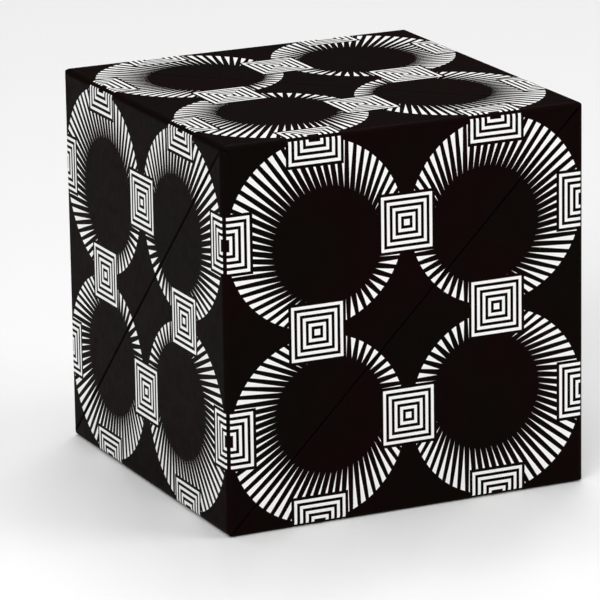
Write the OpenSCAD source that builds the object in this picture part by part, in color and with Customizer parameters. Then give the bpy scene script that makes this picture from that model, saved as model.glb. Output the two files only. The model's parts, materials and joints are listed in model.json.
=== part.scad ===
// Hinged magnetic cube: twelve hollow tetrahedral pieces joined in one ring by film hinges.
// The origin is the middle of the bottom face. +Z is up and the front face looks along -Y.

/* [Cube] */
// Edge of the closed cube, over the printed film
cube_edge = 61; // [45:1:90]
// Gap between each inner face and the plane that it shares with its neighbour
face_gap = 0.2; // [0.2:0.05:0.5]
// Extra gap on the faces beside the bottom back edge, where the modelled ring is open
open_gap = 0.8; // [0.8:0.05:1]

/* [Shells] */
// Wall of the moulded shells
wall = 1.6; // [1.2:0.1:2.2]
// Thickness of the outer caps
cap_t = 1.2; // [0.8:0.1:1.6]
// Width of the ledge that carries a cap
ledge = 0.7; // [0.5:0.1:0.9]
// Clearance round a cap
cap_clearance = 0.1; // [0.05:0.01:0.15]
// Radius of the moulded edges
edge_r = 0.8; // [0.5:0.1:1]

/* [Film] */
// Thickness of the printed film
film_t = 0.25; // [0.15:0.05:0.4]
// Width of a film hinge on each of its two faces
strip_w = 3; // [2.5:0.1:5]
// Radius of the film's bend round a closed edge
bend_r = 1; // [0.6:0.1:1.4]
// Slit between neighbouring pieces of film
film_slit = 0.1; // [0.05:0.01:0.2]
// Glue line between film and shell
glue = 0.02; // [0.01:0.01:0.05]

/* [Magnets] */
// Diameter of a disc magnet
magnet_d = 8; // [6:0.5:9]
// Thickness of a disc magnet
magnet_t = 2; // [1.5:0.5:3]
// Wall round a magnet's pocket
pocket_wall = 1; // [0.8:0.1:1.5]
// Clearance round a magnet
magnet_clearance = 0.1; // [0.05:0.01:0.2]

/* [Hidden] */

half = cube_edge / 2;
// Length along a face that a plane at 45 degrees to it needs for each millimetre of inset
root2 = sqrt(2);
// Axis numbers and outward signs
X = 0;
Y = 1;
Z = 2;
// Colours of the pieces
shell_colour = "#1d1a19";
cap_colour = "#2a2624";
magnet_colour = "#c4c6c8";
film_colour = "#141110";
// Facets of a moulded edge and of a turned face
edge_facets = 24;
turned_facets = 64;
// Overlap that lets two solids of one moulding fuse
fuse = 0.5;
// Height of a pocket's rim above its magnet
pocket_lip = 0.4;
// Depth of the ledge under a cap, below the outer face of the film
cap_seat = film_t + cap_t;
// Faces with an even and an open gap, in the order [x leg, y leg, seam]
even = [face_gap, face_gap, face_gap];
open_x = [face_gap + open_gap, face_gap, face_gap];
open_y = [face_gap, face_gap + open_gap, face_gap];
open_seam = [face_gap, face_gap, face_gap + open_gap];

// A piece is half of one cube face, joined to the middle of the cube: the face's axis, the
// signs of the corner with the right angle, and its gaps. The face lies on that corner's side.
left_front = [X, [-1, -1, -1], even];
front_left = [Y, [-1, -1, 1], even];
top_left = [Z, [-1, -1, 1], even];
left_back = [X, [-1, 1, 1], even];
back_left = [Y, [-1, 1, 1], even];
top_right = [Z, [1, 1, 1], even];
right_back = [X, [1, 1, 1], open_seam];
back_right = [Y, [1, 1, -1], open_y];
bottom_right = [Z, [1, 1, -1], open_x];
right_front = [X, [1, -1, -1], open_seam];
front_right = [Y, [1, -1, -1], even];
bottom_left = [Z, [-1, -1, -1], even];

// Unit vector along one axis, with a sign
function unit(axis, sign) = [for (k = [X:Z]) k == axis ? sign : 0];

// Signs of a corner multiplied together
function parity(corner) = corner[X] * corner[Y] * corner[Z];

// Columns x, y and z and the origin of a rigid frame, as a matrix
function rigid(x, y, z, origin) = [for (k = [X:Z]) [x[k], y[k], z[k], origin[k]]];

// Own frame of a piece: the right angle at the origin, its legs along +X and +Y, and +Z
// into the cube. The order of the legs keeps the frame right-handed.
module place(piece) {
    axis = piece[0];
    corner = piece[1];
    first = (axis + 1) % 3;
    second = (axis + 2) % 3;
    leg_x = parity(corner) < 0 ? first : second;
    leg_y = parity(corner) < 0 ? second : first;
    multmatrix(rigid(
        unit(leg_x, -corner[leg_x]),
        unit(leg_y, -corner[leg_y]),
        unit(axis, -corner[axis]),
        corner * half + [0, 0, half]
    )) children();
}

// Own frame of a cube edge between faces a and b: X along the edge, Y into the cube from
// face a, Z into the cube from face b
module along_edge(a, b) {
    multmatrix(rigid(cross(a, b), -a, -b, (a + b) * half + [0, 0, half])) children();
}

// Outline of a piece's outer face, inset from its x leg, its y leg and its seam
function face_points(x_leg, y_leg, seam) = [
    [y_leg, x_leg],
    [cube_edge - root2 * seam - x_leg, x_leg],
    [y_leg, cube_edge - root2 * seam - y_leg]
];

// Corners of the tetrahedron at a depth below the outer face, inset from its three inner faces
function tetra_points(depth, x_leg, y_leg, seam) =
    let (tip = (cube_edge - root2 * (seam + x_leg + y_leg)) / 2)
    concat(
        [for (p = face_points(depth + root2 * x_leg, depth + root2 * y_leg, seam)) [p[X], p[Y], depth]],
        [[tip + root2 * y_leg, tip + root2 * x_leg, tip]]
    );

// Solid tetrahedron with rounded edges
module rounded_tetra(depth, gaps) {
    hull() {
        for (p = tetra_points(depth + edge_r, gaps[0] + edge_r, gaps[1] + edge_r, gaps[2] + edge_r))
            translate(p) sphere(r = edge_r, $fn = edge_facets);
    }
}

// Solid tetrahedron with sharp edges
module sharp_tetra(depth, gaps) {
    polyhedron(
        points = tetra_points(depth, gaps[0], gaps[1], gaps[2]),
        faces = [[0, 1, 2], [0, 3, 1], [1, 3, 2], [2, 3, 0]]
    );
}

// Triangular plate between two depths, inset from the legs and the seam, with round corners
module face_plate(from, to, x_leg, y_leg, seam) {
    translate([0, 0, from])
        linear_extrude(to - from)
            offset(r = edge_r, $fn = edge_facets)
                polygon(face_points(x_leg + edge_r, y_leg + edge_r, seam + edge_r));
}

// Centre of an inner face, 0 at the x leg, 1 at the y leg and 2 at the seam, with Z inwards
module at_inner_face(side) {
    along = cube_edge / 2;
    across = cube_edge / 6;
    centres = [[along, across, across], [across, along, across], [along, along, across]];
    turns = [[225, 0, 0], [0, 135, 0], [90, 0, -45]];
    translate(centres[side]) rotate(turns[side]) children();
}

// Hollow moulded shell with a pocket for a magnet behind each inner face
module shell(piece) {
    gaps = piece[2];
    inner = [for (g = gaps) g + wall];
    lid = [for (g = inner) root2 * g + cap_seat - ledge];
    seam_lid = inner[2] - ledge;
    color(shell_colour) place(piece) difference() {
        union() {
            difference() {
                rounded_tetra(film_t, gaps);
                sharp_tetra(cap_seat - fuse, inner);
                face_plate(film_t - fuse, cap_seat, lid[0], lid[1], seam_lid);
            }
            for (side = [0:2]) at_inner_face(side)
                translate([0, 0, inner[side] - fuse])
                    cylinder(
                        d = magnet_d + 2 * (magnet_clearance + pocket_wall),
                        h = fuse + magnet_t + pocket_lip,
                        $fn = turned_facets
                    );
        }
        for (side = [0:2]) at_inner_face(side)
            translate([0, 0, inner[side]])
                cylinder(
                    d = magnet_d + 2 * magnet_clearance,
                    h = magnet_t + 2 * pocket_lip,
                    $fn = turned_facets
                );
    }
}

// Flat plate that closes a shell behind the printed film
module cap(piece) {
    inner = [for (g = piece[2]) g + wall];
    inset = [for (g = inner) root2 * g + cap_seat - ledge + cap_clearance];
    color(cap_colour) place(piece)
        face_plate(film_t, cap_seat, inset[0], inset[1], inner[2] - ledge + cap_clearance);
}

// Disc magnets in the three pockets of a shell
module magnets(piece) {
    color(magnet_colour) place(piece)
        for (side = [0:2]) at_inner_face(side)
            translate([0, 0, piece[2][side] + wall])
                cylinder(d = magnet_d, h = magnet_t, $fn = turned_facets);
}

// Printed film on a piece's outer face, between its two hinges and its seam
module film(piece) {
    color(film_colour) place(piece)
        linear_extrude(film_t - glue)
            polygon(face_points(strip_w + film_slit, strip_w + film_slit, piece[2][2] + edge_r));
}

// Bent section of a film hinge, with the cube's edge at the origin
module strip_section() {
    difference() {
        bent_corner(0, strip_w);
        bent_corner(film_t - glue, strip_w + fuse);
    }
}

// Square from one inset to one width, with the bend's round corner near the origin
module bent_corner(inset, width) {
    translate([bend_r, inset]) square([width - bend_r, width - inset]);
    translate([inset, bend_r]) square([width - inset, width - bend_r]);
    translate([bend_r, bend_r]) circle(r = bend_r - inset, $fn = turned_facets);
}

// Trapezium with mitred ends, as wide as a strip and a little wider
module mitre() {
    reach = strip_w + fuse;
    length = cube_edge / 2 - film_slit;
    polygon([[-length - fuse, -fuse], [length + fuse, -fuse], [length - reach, reach], [-length + reach, reach]]);
}

// Film hinge along the edge between faces a and b
module hinge(a, b) {
    color(film_colour) along_edge(a, b) intersection() {
        translate([-half, 0, 0])
            rotate([90, 0, 90])
                linear_extrude(cube_edge)
                    strip_section();
        translate([0, 0, -fuse]) linear_extrude(strip_w + 2 * fuse) mitre();
        translate([0, strip_w + fuse, 0])
            rotate([90, 0, 0])
                linear_extrude(strip_w + 2 * fuse)
                    mitre();
    }
}

// Half of a film hinge: the flat part on face a only
module half_hinge(a, b) {
    color(film_colour) along_edge(a, b)
        translate([0, film_t - glue, 0])
            rotate([90, 0, 0])
                linear_extrude(film_t - glue)
                    intersection() {
                        mitre();
                        translate([-half, bend_r + open_gap])
                            square([cube_edge, strip_w - bend_r - open_gap]);
                    }
}

// The twelve hinges, each named after its edge, between the outward normals of two faces
left = [-1, 0, 0];
right = [1, 0, 0];
front = [0, -1, 0];
back = [0, 1, 0];
bottom = [0, 0, -1];
top = [0, 0, 1];
module hinge_front_left() hinge(front, left);
module hinge_top_front() hinge(top, front);
module hinge_top_left() hinge(top, left);
module hinge_back_left() hinge(back, left);
module hinge_top_back() hinge(top, back);
module hinge_top_right() hinge(top, right);
module hinge_back_right() hinge(back, right);
module hinge_bottom_back() half_hinge(back, bottom);
module hinge_bottom_right() hinge(bottom, right);
module hinge_front_right() hinge(front, right);
module hinge_bottom_front() hinge(bottom, front);
module hinge_bottom_left() hinge(bottom, left);

// Moulded shells
shell(left_front);  // shell_left_front
shell(front_left);  // shell_front_left
shell(top_left);  // shell_top_left
shell(left_back);  // shell_left_back
shell(back_left);  // shell_back_left
shell(top_right);  // shell_top_right
shell(right_back);  // shell_right_back
shell(back_right);  // shell_back_right
shell(bottom_right);  // shell_bottom_right
shell(right_front);  // shell_right_front
shell(front_right);  // shell_front_right
shell(bottom_left);  // shell_bottom_left

// Outer caps that close the shells
cap(left_front);  // cap_left_front
cap(front_left);  // cap_front_left
cap(top_left);  // cap_top_left
cap(left_back);  // cap_left_back
cap(back_left);  // cap_back_left
cap(top_right);  // cap_top_right
cap(right_back);  // cap_right_back
cap(back_right);  // cap_back_right
cap(bottom_right);  // cap_bottom_right
cap(right_front);  // cap_right_front
cap(front_right);  // cap_front_right
cap(bottom_left);  // cap_bottom_left

// Magnets, three in each shell
magnets(left_front);  // magnets_left_front
magnets(front_left);  // magnets_front_left
magnets(top_left);  // magnets_top_left
magnets(left_back);  // magnets_left_back
magnets(back_left);  // magnets_back_left
magnets(top_right);  // magnets_top_right
magnets(right_back);  // magnets_right_back
magnets(back_right);  // magnets_back_right
magnets(bottom_right);  // magnets_bottom_right
magnets(right_front);  // magnets_right_front
magnets(front_right);  // magnets_front_right
magnets(bottom_left);  // magnets_bottom_left

// Printed film on the outer faces
film(left_front);  // film_left_front
film(front_left);  // film_front_left
film(top_left);  // film_top_left
film(left_back);  // film_left_back
film(back_left);  // film_back_left
film(top_right);  // film_top_right
film(right_back);  // film_right_back
film(back_right);  // film_back_right
film(bottom_right);  // film_bottom_right
film(right_front);  // film_right_front
film(front_right);  // film_front_right
film(bottom_left);  // film_bottom_left

// Film hinges along the cube's edges
hinge_front_left();
hinge_top_front();
hinge_top_left();
hinge_back_left();
hinge_top_back();
hinge_top_right();
hinge_back_right();
hinge_bottom_back();
hinge_bottom_right();
hinge_front_right();
hinge_bottom_front();
hinge_bottom_left();
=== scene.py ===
import json
import math

import bmesh
import bpy
import numpy as np
from mathutils import Matrix, Vector
from mathutils.geometry import delaunay_2d_cdt

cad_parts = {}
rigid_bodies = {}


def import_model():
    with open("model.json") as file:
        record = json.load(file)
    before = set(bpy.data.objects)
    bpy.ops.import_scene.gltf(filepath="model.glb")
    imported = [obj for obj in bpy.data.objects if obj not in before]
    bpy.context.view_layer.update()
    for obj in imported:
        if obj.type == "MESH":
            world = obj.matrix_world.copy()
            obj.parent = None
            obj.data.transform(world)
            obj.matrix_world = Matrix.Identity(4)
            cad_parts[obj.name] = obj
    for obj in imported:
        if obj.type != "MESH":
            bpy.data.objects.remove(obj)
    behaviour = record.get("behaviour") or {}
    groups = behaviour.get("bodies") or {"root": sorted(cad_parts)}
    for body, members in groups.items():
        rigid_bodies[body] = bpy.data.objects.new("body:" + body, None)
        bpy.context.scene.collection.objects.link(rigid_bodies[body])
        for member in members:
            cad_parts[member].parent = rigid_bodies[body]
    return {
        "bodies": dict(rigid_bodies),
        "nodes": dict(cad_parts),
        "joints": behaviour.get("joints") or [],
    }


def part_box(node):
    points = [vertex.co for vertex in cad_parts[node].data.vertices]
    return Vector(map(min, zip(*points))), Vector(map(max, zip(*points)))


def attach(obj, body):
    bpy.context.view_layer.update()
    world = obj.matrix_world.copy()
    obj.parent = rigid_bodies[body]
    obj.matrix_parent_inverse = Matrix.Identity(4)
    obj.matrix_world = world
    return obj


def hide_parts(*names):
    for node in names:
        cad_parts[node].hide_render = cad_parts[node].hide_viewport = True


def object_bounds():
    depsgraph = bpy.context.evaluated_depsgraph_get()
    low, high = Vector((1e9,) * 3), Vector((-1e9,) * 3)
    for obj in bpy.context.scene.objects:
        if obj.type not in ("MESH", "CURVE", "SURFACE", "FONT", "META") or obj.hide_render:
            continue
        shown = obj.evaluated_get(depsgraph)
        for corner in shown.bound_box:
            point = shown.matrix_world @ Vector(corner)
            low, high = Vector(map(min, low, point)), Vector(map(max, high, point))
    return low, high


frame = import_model()
cad_low, cad_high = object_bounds()

MM = 0.001
EDGE = cad_high.x - cad_low.x
HALF = EDGE / 2
CENTRE = (cad_low + cad_high) / 2
# Length along a leg for each unit of distance from a line at 45 degrees to it
ROOT2 = math.sqrt(2)

# Printed film: thickness, bend round a closed edge, width of a hinge strip on each face
FILM_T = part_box("film_top_left")[1].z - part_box("film_top_left")[0].z
BEND_R = 1.0 * MM
STRIP_W = 3.0 * MM
# Film turned over the edge at a seam, and half the gap that is left there
SEAM_R = 0.3 * MM
SEAM_GAP = 0.09 * MM
# Degrees that half a fold bends through, and that the film turns over at a seam
HALF_FOLD = 45
SEAM_TURN = 90
# Steps in the bend of a fold, and in the seam edge of a panel and of a fold
BEND_STEPS = 5
PANEL_SEAM_STEPS = 5
FOLD_SEAM_STEPS = 3
# Distance of the line just beyond a rounding, in radii
BEYOND = 1.12
# Distance from the edge of the crease that a fold bends at, and of the black line's far side
CREASE = BEND_R * (1 - math.sin(math.radians(HALF_FOLD)))
FOLD_LINE = 0.55 * MM
# Inner ply under a crease: its depth, thickness, turn each way and distance from the corners
PLY_DEPTH = FILM_T + 0.01 * MM
PLY_T = 0.12 * MM
PLY_TURN = 30
PLY_STEPS = 6
PLY_END = 0.9 * MM
# Angle in degrees from which an edge between two faces is shaded sharp
SHARP = 32

# The least that counts: a segment's slope to a region's side, its share inside the region, a
# triangle's doubled area in square metres, and the distance between two points in millimetres
LEAST_SLOPE = 1e-15
LEAST_SHARE = 1e-6
LEAST_AREA = 1e-12
LEAST_STEP_MM = 1e-4

# The print is plain op art on a grid of four by four cells a face: a ring of wedges in every
# block of two by two cells, and nested squares where two rings touch
CELLS = 4
CELL = EDGE / CELLS
# A ring, in cells: its wedges, their share of its outer circle, that circle's radius, and the
# radius of the circle of the wedges' tips, which leans towards the middle of the face
RING_WEDGES = 60
RING_FILL = 0.56
RING_OUTER = 0.97
RING_INNER = 0.60
RING_LEAN = 0.13
# Nested squares, in cells: how many outlines, black outside, and half the side of the largest
SQUARES = 10
SQUARE_HALF = 0.315

# Outward normals, and for each face its first corner and its print's two directions
NORMALS = {
    "left": Vector((-1, 0, 0)), "right": Vector((1, 0, 0)),
    "front": Vector((0, -1, 0)), "back": Vector((0, 1, 0)),
    "bottom": Vector((0, 0, -1)), "top": Vector((0, 0, 1)),
}
PRINT_FRAMES = {
    "front": ((-1, -1, -1), (1, 0, 0), (0, 0, 1)),
    "back": ((-1, 1, -1), (1, 0, 0), (0, 0, 1)),
    "left": ((-1, -1, -1), (0, 1, 0), (0, 0, 1)),
    "right": ((1, -1, -1), (0, 1, 0), (0, 0, 1)),
    "bottom": ((-1, -1, -1), (1, 0, 0), (0, 1, 0)),
    "top": ((-1, -1, 1), (1, 0, 0), (0, 1, 0)),
}


def add_object(name, data):
    """A new object in the scene."""
    thing = bpy.data.objects.new(name, data)
    bpy.context.scene.collection.objects.link(thing)
    return thing


# ---------------------------------------------------------------- materials

# Values that noise mostly stays between
NOISE_LOW, NOISE_HIGH = 0.3, 0.7
# Sockets of a Mix node that are used when it mixes colours
MIX_FACTOR, MIX_FIRST, MIX_SECOND, MIX_RESULT = 0, 6, 7, 2


def node_material(name):
    """A material with its node tree, its shader and the coordinates of the object."""
    mat = bpy.data.materials.new(name)
    mat.use_nodes = True
    tree = mat.node_tree
    shader = tree.nodes["Principled BSDF"]
    coords = tree.nodes.new("ShaderNodeTexCoord")
    return mat, tree, shader, coords.outputs["Object"]


def noise(tree, where, scale, detail, stretch=None):
    """Noise of a scale in features per metre."""
    if stretch:
        mapping = tree.nodes.new("ShaderNodeMapping")
        mapping.inputs["Scale"].default_value = stretch
        tree.links.new(where, mapping.inputs["Vector"])
        where = mapping.outputs["Vector"]
    tex = tree.nodes.new("ShaderNodeTexNoise")
    tex.inputs["Scale"].default_value = scale
    tex.inputs["Detail"].default_value = detail
    tree.links.new(where, tex.inputs["Vector"])
    return tex.outputs["Fac"]


def spread(tree, value, low, high):
    """Maps noise to a range of numbers."""
    node = tree.nodes.new("ShaderNodeMapRange")
    node.inputs["From Min"].default_value = NOISE_LOW
    node.inputs["From Max"].default_value = NOISE_HIGH
    node.inputs["To Min"].default_value = low
    node.inputs["To Max"].default_value = high
    tree.links.new(value, node.inputs["Value"])
    return node.outputs["Result"]


def two_tone(tree, value, first, second, shader):
    """Base colour that drifts between two close tones."""
    mix = tree.nodes.new("ShaderNodeMix")
    mix.data_type = "RGBA"
    mix.inputs[MIX_FIRST].default_value = (*first, 1)
    mix.inputs[MIX_SECOND].default_value = (*second, 1)
    tree.links.new(spread(tree, value, 0, 1), mix.inputs[MIX_FACTOR])
    tree.links.new(mix.outputs[MIX_RESULT], shader.inputs["Base Color"])


def cloudy_roughness(tree, value, low, high, shader):
    """Roughness that drifts between two values."""
    tree.links.new(spread(tree, value, low, high), shader.inputs["Roughness"])


def bump(tree, layers, shader):
    """Chain of bumps: (height, strength, depth in metres)."""
    normal = None
    for height, strength, depth in layers:
        node = tree.nodes.new("ShaderNodeBump")
        node.inputs["Strength"].default_value = strength
        node.inputs["Distance"].default_value = depth
        tree.links.new(height, node.inputs["Height"])
        if normal:
            tree.links.new(normal, node.inputs["Normal"])
        normal = node.outputs["Normal"]
    tree.links.new(normal, shader.inputs["Normal"])


def film_material(name, first, second, specular):
    """Satin laminate over ink: fine orange peel, slow waves and faint roughness clouds."""
    mat, tree, shader, where = node_material(name)
    two_tone(tree, noise(tree, where, scale=60, detail=3), first, second, shader)
    cloudy_roughness(tree, noise(tree, where, scale=900, detail=4), 0.40, 0.52, shader)
    peel = noise(tree, where, scale=5200, detail=3)
    waves = noise(tree, where, scale=220, detail=2)
    bump(tree, [(peel, 0.12, 0.02 * MM), (waves, 0.15, 0.05 * MM)], shader)
    shader.inputs["Specular IOR Level"].default_value = specular
    return mat


def plastic_material(name, first, second):
    """Moulded ABS with a fine spark texture."""
    mat, tree, shader, where = node_material(name)
    two_tone(tree, noise(tree, where, scale=130, detail=4), first, second, shader)
    cloudy_roughness(tree, noise(tree, where, scale=1500, detail=5), 0.42, 0.60, shader)
    grain = tree.nodes.new("ShaderNodeTexVoronoi")
    grain.inputs["Scale"].default_value = 3600
    tree.links.new(where, grain.inputs["Vector"])
    waves = noise(tree, where, scale=300, detail=2)
    bump(tree, [(grain.outputs["Distance"], 0.25, 0.03 * MM), (waves, 0.1, 0.05 * MM)], shader)
    shader.inputs["Specular IOR Level"].default_value = 0.4
    return mat


def nickel_material(name, first, second):
    """Nickel plate with faint turning marks and clouds."""
    mat, tree, shader, where = node_material(name)
    two_tone(tree, noise(tree, where, scale=240, detail=4), first, second, shader)
    cloudy_roughness(tree, noise(tree, where, scale=900, detail=6), 0.18, 0.34, shader)
    marks = noise(tree, where, scale=700, detail=4, stretch=(1, 1, 9))
    bump(tree, [(marks, 0.12, 0.01 * MM)], shader)
    shader.inputs["Metallic"].default_value = 1.0
    return mat


black_ink = film_material("film_black", (0.0056, 0.0016, 0.0015), (0.0034, 0.0027, 0.0018), 0.01)
white_ink = film_material("film_white", (0.93, 0.925, 0.91), (0.90, 0.895, 0.88), 0.2)
FINISHES = {
    "shell": plastic_material("shell_black", (0.0125, 0.0105, 0.0100), (0.0175, 0.0150, 0.0140)),
    "cap": plastic_material("cap_black", (0.022, 0.019, 0.018), (0.030, 0.026, 0.024)),
    "magnets": nickel_material("magnet_nickel", (0.66, 0.65, 0.63), (0.75, 0.74, 0.72)),
}

for node_name, node_object in frame["nodes"].items():
    finish = FINISHES.get(node_name.split("_")[0])
    if finish:
        for material_slot in node_object.material_slots:
            material_slot.material = finish


# ---------------------------------------------------------------- print

def wedge_ring(centre, lean):
    """Wedges round a centre, their tips on a smaller circle that leans to one side."""
    def around(step, radius):
        angle = math.tau * step / RING_WEDGES
        return centre + radius * np.array([math.cos(angle), math.sin(angle)])

    return [
        np.array([
            around(k - RING_FILL / 2, RING_OUTER),
            around(k + RING_FILL / 2, RING_OUTER),
            around(k, RING_INNER) + lean,
        ])
        for k in range(RING_WEDGES)
    ]


def nested_squares(centre):
    """Outlines of squares round a centre, in equal steps."""
    corners = np.array([[-1, -1], [1, -1], [1, 1], [-1, 1]])
    return [centre + corners * SQUARE_HALF * (1 - k / SQUARES) for k in range(SQUARES)]


def face_print():
    """Wedges and squares of one face, in metres from its first corner."""
    wedges, squares = [], []
    for i in range(CELLS + 1):
        for j in range(CELLS + 1):
            spot = np.array([i, j])
            if (i + j) % 2:
                squares += nested_squares(spot)
            elif i % 2:
                wedges += wedge_ring(spot, RING_LEAN * np.sign(CELLS / 2 - spot))
    return [[shape * CELL for shape in shapes] for shapes in (wedges, squares)]


def inside(shape, points):
    """Which points lie in a convex shape."""
    run = np.roll(shape, -1, 0) - shape
    gap = points[None] - shape[:, None]
    turn = run[:, None, 0] * gap[..., 1] - run[:, None, 1] * gap[..., 0]
    return (turn >= 0).all(0) | (turn <= 0).all(0)


class Face:
    """A cube face with its print, in metres from the face's first corner."""

    def __init__(self, name):
        corner, u, v = PRINT_FRAMES[name]
        self.normal = NORMALS[name]
        self.origin = CENTRE + Vector(corner) * HALF
        self.u, self.v = Vector(u), Vector(v)
        self.wedges, self.squares = face_print()

    def white(self, points):
        """Which points are printed white: wedges, and every second square on top of them."""
        depth = sum(inside(square, points).astype(int) for square in self.squares)
        on_wedge = np.zeros(len(points), bool)
        for wedge in self.wedges:
            on_wedge |= inside(wedge, points)
        return np.where(depth > 0, depth % 2 == 0, on_wedge)


FACES = {name: Face(name) for name in NORMALS}


def face_of(body):
    """The cube face that a piece's outer face is half of."""
    return FACES[body.split("_")[0]]


class Patch:
    """Part of a face in its own flat frame: x along one direction, y along another."""

    def __init__(self, face, start, x_dir, y_dir):
        self.face = face
        shift = start - face.origin
        self.turn = np.array([
            [x_dir.dot(face.u), y_dir.dot(face.u)],
            [x_dir.dot(face.v), y_dir.dot(face.v)],
        ])
        self.shift = np.array([shift.dot(face.u), shift.dot(face.v)])

    def white(self, points):
        """Which points of this frame are printed white."""
        return self.face.white(points @ self.turn.T + self.shift)

    def outlines(self):
        """Outlines of the print's shapes in this frame."""
        for shape in self.face.wedges + self.face.squares:
            yield (shape - self.shift) @ self.turn


def clip(a, b, region):
    """Part of the segment from a to b in a convex region, counter-clockwise, or None."""
    enter, leave = 0.0, 1.0
    step = b - a
    for p, q in zip(region, np.roll(region, -1, 0)):
        normal = np.array([p[1] - q[1], q[0] - p[0]])
        depth, rate = normal @ (a - p), normal @ step
        if abs(rate) < LEAST_SLOPE:
            if depth < 0:
                return None
        elif rate > 0:
            enter = max(enter, -depth / rate)
        else:
            leave = min(leave, -depth / rate)
    if leave - enter < LEAST_SHARE:
        return None
    return a + enter * step, a + leave * step


def sides(region):
    """The segments round a region."""
    return list(zip(region, np.roll(region, -1, 0)))


def shape_segments(outlines, region):
    """All sides of the outlines that cross a region, cut off at its border."""
    low, high = region.min(0), region.max(0)
    found = []
    for shape in outlines:
        if (shape.max(0) < low).any() or (shape.min(0) > high).any():
            continue
        for a, b in sides(shape):
            part = clip(a, b, region)
            if part:
                found.append(part)
    return found


def triangulate(segments):
    """Flat mesh of the region that the segments span: points in metres and triangles."""
    points = [Vector(p) / MM for segment in segments for p in segment]
    edges = [(2 * k, 2 * k + 1) for k in range(len(segments))]
    points, _, faces, *_ = delaunay_2d_cdt(points, edges, [], 0, LEAST_STEP_MM)
    points = np.array([p[:] for p in points]) * MM
    solid = []
    for face in faces:
        a, b, c = points[list(face)]
        if abs((b - a)[0] * (c - a)[1] - (b - a)[1] * (c - a)[0]) > LEAST_AREA:
            solid.append(list(face))
    return points, solid


def middles(points, triangles):
    """The middle of each triangle."""
    return np.array([points[triangle].mean(0) for triangle in triangles])


def rounding(distance, radius):
    """Depth and tilt of a quarter round at a distance from its outer side."""
    sine = min(1.0, max(0.0, 1 - distance / radius))
    return radius * (1 - math.sqrt(1 - sine * sine)), math.asin(sine)


def round_lines(radius, angle, count):
    """Distances of the lines that divide a rounding into equal turns, and one just beyond it."""
    turns = [radius * (1 - math.sin(math.radians(angle * k / count))) for k in range(count)]
    return turns + [radius * BEYOND]


def smooth(mesh):
    """Shades a mesh smooth, apart from its sharp edges."""
    mesh.polygons.foreach_set("use_smooth", np.ones(len(mesh.polygons), bool))
    mesh.set_sharp_from_angle(angle=math.radians(SHARP))


def film_mesh(name, flat, triangles, lift, white):
    """Closed sheet: the outer side at lift()'s points, the inner side one thickness below."""
    used = sorted({k for triangle in triangles for k in triangle})
    index = {k: n for n, k in enumerate(used)}
    lifted = [lift(*flat[k]) for k in used]
    outer = [point for point, _ in lifted]
    inner = [point - normal * FILM_T for point, normal in lifted]
    top, edges = [], {}
    for triangle in triangles:
        a, b, c = (index[k] for k in triangle)
        facing = (outer[b] - outer[a]).cross(outer[c] - outer[a])
        if facing.dot(lifted[a][1] + lifted[b][1] + lifted[c][1]) < 0:
            b, c = c, b
        top.append((a, b, c))
        edges.update(dict.fromkeys([(a, b), (b, c), (c, a)]))
    count = len(used)
    under = [(c + count, b + count, a + count) for a, b, c in top]
    # An edge of the border belongs to one triangle, so it is there in one direction only
    walls = [(a, a + count, b + count, b) for a, b in edges if (b, a) not in edges]
    mesh = bpy.data.meshes.new(name)
    mesh.from_pydata(outer + inner, [], top + under + walls)
    mesh.materials.append(black_ink)
    mesh.materials.append(white_ink)
    slots = np.zeros(len(mesh.polygons), np.int32)
    slots[:len(top)] = white
    mesh.polygons.foreach_set("material_index", slots)
    smooth(mesh)
    mesh.update()
    return add_object(name, mesh)


def corner_of(body):
    """Signs of the corner with a piece's right angle."""
    node = frame["nodes"]["film_" + body]
    middle = sum((v.co for v in node.data.vertices), Vector()) / len(node.data.vertices)
    return Vector([1 if k > 0 else -1 for k in middle - CENTRE])


# ---------------------------------------------------------------- panels

def panel(body):
    """Printed film on one piece's outer face, turned over its seam edge."""
    face = face_of(body)
    corner = corner_of(body)
    start = CENTRE + corner * HALF
    legs = [
        Vector([-corner[k] if k == axis else 0 for k in range(3)])
        for axis in range(3) if not face.normal[axis]
    ]
    patch = Patch(face, start, *legs)
    reach = EDGE - STRIP_W - SEAM_GAP * ROOT2
    region = np.array([[STRIP_W, STRIP_W], [reach, STRIP_W], [STRIP_W, reach]])
    segments = sides(region) + shape_segments(patch.outlines(), region)
    for distance in round_lines(SEAM_R, SEAM_TURN, PANEL_SEAM_STEPS)[1:]:
        far = EDGE - (SEAM_GAP + distance) * ROOT2
        segments.append(clip(np.array([far, 0.0]), np.array([0.0, far]), region))
    flat, triangles = triangulate(segments)
    towards = (legs[0] + legs[1]).normalized()

    def lift(x, y):
        """Point and normal of the outer side."""
        depth, tilt = rounding((EDGE - x - y) / ROOT2 - SEAM_GAP, SEAM_R)
        point = start + legs[0] * x + legs[1] * y - face.normal * depth
        return point, face.normal * math.cos(tilt) + towards * math.sin(tilt)

    white = patch.white(middles(flat, triangles))
    piece = film_mesh("print_" + body, flat, triangles, lift, white)
    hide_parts("film_" + body)
    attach(piece, body)


# ---------------------------------------------------------------- folds

def edge_frame(body, neighbour):
    """A piece's face, and the start, direction and inward side of the edge that it shares."""
    face, other = face_of(body), face_of(neighbour)
    outward = face.normal + other.normal
    along = Vector([0 if outward[k] else 1 for k in range(3)])
    return face, CENTRE + (outward - along) * HALF, along, -other.normal


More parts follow.
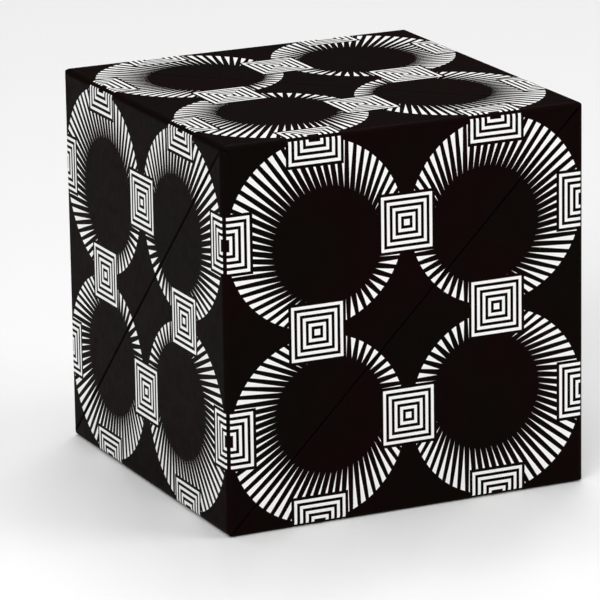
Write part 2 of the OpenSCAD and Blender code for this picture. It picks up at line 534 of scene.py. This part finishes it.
def fold_half(name, body, neighbour):
    """Film beside a cube edge on one piece's face, bent round to the crease along the edge."""
    face, start, along, inward = edge_frame(body, neighbour)
    patch = Patch(face, start, along, inward)
    # The end of the edge where this face's seam runs, and the one where its neighbour's does
    seam_end, other_end = (0 if corner_of(b).dot(along) > 0 else 1 for b in (body, neighbour))

    def corners(end):
        """Distances along the edge of the outline's two corners at one end."""
        gap = SEAM_GAP * ROOT2
        near = CREASE + (gap if end in (seam_end, other_end) else 0)
        far = STRIP_W + (gap if end == seam_end else 0)
        return (EDGE - near, EDGE - far) if end else (near, far)

    (a_near, a_far), (b_near, b_far) = corners(0), corners(1)
    region = np.array([[a_near, CREASE], [b_near, CREASE], [b_far, STRIP_W], [a_far, STRIP_W]])
    bends = [FOLD_LINE] + round_lines(BEND_R, HALF_FOLD, BEND_STEPS)
    lines = [((0, y), (EDGE, y)) for y in bends]
    for distance in round_lines(SEAM_R, SEAM_TURN, FOLD_SEAM_STEPS)[1:]:
        low = (SEAM_GAP + distance) * ROOT2
        high = low + STRIP_W
        if seam_end:
            low, high = EDGE - low, EDGE - high
        lines.append(((low, 0), (high, STRIP_W)))
    parts = [clip(np.array(a, float), np.array(b, float), region) for a, b in lines]
    segments = sides(region) + shape_segments(patch.outlines(), region) + [p for p in parts if p]
    flat, triangles = triangulate(segments)
    towards = (inward + along * (1 if seam_end else -1)).normalized()

    def lift(x, y):
        """Point and normal of the outer side."""
        depth, tilt = rounding(y, BEND_R)
        normal = face.normal * math.cos(tilt) - inward * math.sin(tilt)
        drop, lean = 0, 0
        if y > BEND_R:
            run = EDGE - x if seam_end else x
            drop, lean = rounding((run - y) / ROOT2 - SEAM_GAP, SEAM_R)
        point = start + along * x + inward * y - face.normal * (depth + drop)
        return point, (normal * math.cos(lean) + towards * math.sin(lean)).normalized()

    spots = middles(flat, triangles)
    white = patch.white(spots) & (spots[:, 1] > FOLD_LINE)
    piece = film_mesh(name, flat, triangles, lift, white)
    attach(piece, body)
    return piece


def inner_ply(name, body, neighbour):
    """Curved strip under a crease that keeps it closed as the fold opens."""
    face, start, along, inward = edge_frame(body, neighbour)
    points, faces = [], []
    # Four rows of points: the outer and inner side at one end, then at the other
    for x in (PLY_END, EDGE - PLY_END):
        for radius in (BEND_R - PLY_DEPTH, BEND_R - PLY_DEPTH - PLY_T):
            for k in range(PLY_STEPS + 1):
                angle = math.radians(HALF_FOLD + PLY_TURN * (2 * k / PLY_STEPS - 1))
                across = inward * (BEND_R - radius * math.cos(angle))
                deep = -face.normal * (BEND_R - radius * math.sin(angle))
                points.append(start + along * x + across + deep)
    row = PLY_STEPS + 1
    for k in range(PLY_STEPS):
        for a, b in ((0, 2), (3, 1), (1, 0), (2, 3)):
            faces.append((a * row + k, a * row + k + 1, b * row + k + 1, b * row + k))
    for k in (0, PLY_STEPS):
        faces.append((k, 2 * row + k, 3 * row + k, row + k))
    mesh = bpy.data.meshes.new(name)
    mesh.from_pydata(points, [], faces)
    mesh.materials.append(black_ink)
    work = bmesh.new()
    work.from_mesh(mesh)
    bmesh.ops.recalc_face_normals(work, faces=work.faces)
    work.to_mesh(mesh)
    work.free()
    smooth(mesh)
    piece = add_object(name, mesh)
    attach(piece, body)


for body in frame["bodies"]:
    panel(body)

# Each hinge is creased: its two halves ride on their own pieces, and each joint also gets a ply on
# the first of them
folds = {joint["name"]: (joint["parent"], joint["child"]) for joint in frame["joints"]}
folds["hinge_bottom_back"] = ("back_right", "bottom_right")
for hinge, (first, second) in folds.items():
    for body, neighbour in ((first, second), (second, first)):
        side = body.split("_")[0]
        half = fold_half(f"{hinge.replace('hinge', 'fold')}_on_{side}", body, neighbour)
        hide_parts(hinge)
for joint in frame["joints"]:
    inner_ply(joint["name"].replace("hinge", "ply"), joint["parent"], joint["child"])


# ---------------------------------------------------------------- floor and light

# Half the floor's side in metres, the two greys that it drifts between, and its shine
FLOOR_HALF = 3.0
FLOOR_GREYS = ((0.94, 0.94, 0.94), (0.95, 0.95, 0.95))
FLOOR_ROUGHNESS = 0.35
FLOOR_SPECULAR = 0.3
# Strength of the even light from all round
WORLD_LIGHT = 0.06

floor_mesh = bpy.data.meshes.new("floor")
floor_mesh.from_pydata(
    [(x * FLOOR_HALF, y * FLOOR_HALF, 0) for x, y in ((-1, -1), (1, -1), (1, 1), (-1, 1))],
    [],
    [(0, 1, 2, 3)],
)
floor = add_object("floor", floor_mesh)
floor_mat, floor_tree, floor_shader, floor_where = node_material("floor")
two_tone(floor_tree, noise(floor_tree, floor_where, scale=3, detail=2), *FLOOR_GREYS, floor_shader)
floor_shader.inputs["Roughness"].default_value = FLOOR_ROUGHNESS
floor_shader.inputs["Specular IOR Level"].default_value = FLOOR_SPECULAR
floor_mesh.materials.append(floor_mat)

world = bpy.data.worlds.new("studio")
world.use_nodes = True
world.node_tree.nodes["Background"].inputs["Color"].default_value = (1, 1, 1, 1)
world.node_tree.nodes["Background"].inputs["Strength"].default_value = WORLD_LIGHT
bpy.context.scene.world = world


def softbox(name, place, size, power):
    """Square area light that faces the middle of the cube."""
    light = bpy.data.lights.new(name, "AREA")
    light.size = size
    light.energy = power
    lamp = add_object(name, light)
    lamp.location = Vector(place)
    lamp.rotation_euler = (Vector(place) - CENTRE).to_track_quat("Z", "Y").to_euler()


softbox("key", (-0.95, -0.9, 0.85), size=0.9, power=15)
softbox("overhead", (0, 0.1, 1.5), size=1.4, power=14)
softbox("fill_right", (1.2, -0.7, 0.9), size=0.9, power=7)
softbox("fill_back", (0.5, 0.9, 1.5), size=0.9, power=9)


# ---------------------------------------------------------------- camera

# Azimuth and elevation round the cube, distance, roll, lens, and the point it looks at, as
# steps to the right and up from the cube's middle
VIEW_AZ, VIEW_EL = math.radians(25.38), math.radians(15.17)
VIEW_DISTANCE = 0.7433
VIEW_ROLL = math.radians(-0.83)
VIEW_LENS = 282.4
VIEW_SENSOR = 36
VIEW_NEAREST = 0.01
VIEW_AIM = (-3.35 * MM, -4.28 * MM)

back = Vector((
    -math.sin(VIEW_AZ) * math.cos(VIEW_EL),
    -math.cos(VIEW_AZ) * math.cos(VIEW_EL),
    math.sin(VIEW_EL),
))
level = Vector((0, 0, 1)).cross(back).normalized()
upward = back.cross(level)
level, upward = (
    level * math.cos(VIEW_ROLL) + upward * math.sin(VIEW_ROLL),
    upward * math.cos(VIEW_ROLL) - level * math.sin(VIEW_ROLL),
)
eye = CENTRE + back * VIEW_DISTANCE
aim = CENTRE + level * VIEW_AIM[0] + upward * VIEW_AIM[1]
back = (eye - aim).normalized()
level = upward.cross(back).normalized()
upward = back.cross(level)
camera = add_object("camera", bpy.data.cameras.new("camera"))
camera.data.lens = VIEW_LENS
camera.data.sensor_width = VIEW_SENSOR
camera.data.clip_start = VIEW_NEAREST
camera.matrix_world = Matrix((
    (level.x, upward.x, back.x, eye.x),
    (level.y, upward.y, back.y, eye.y),
    (level.z, upward.z, back.z, eye.z),
    (0, 0, 0, 1),
))
bpy.context.scene.camera = camera
bpy.context.scene.view_settings.view_transform = "Standard"
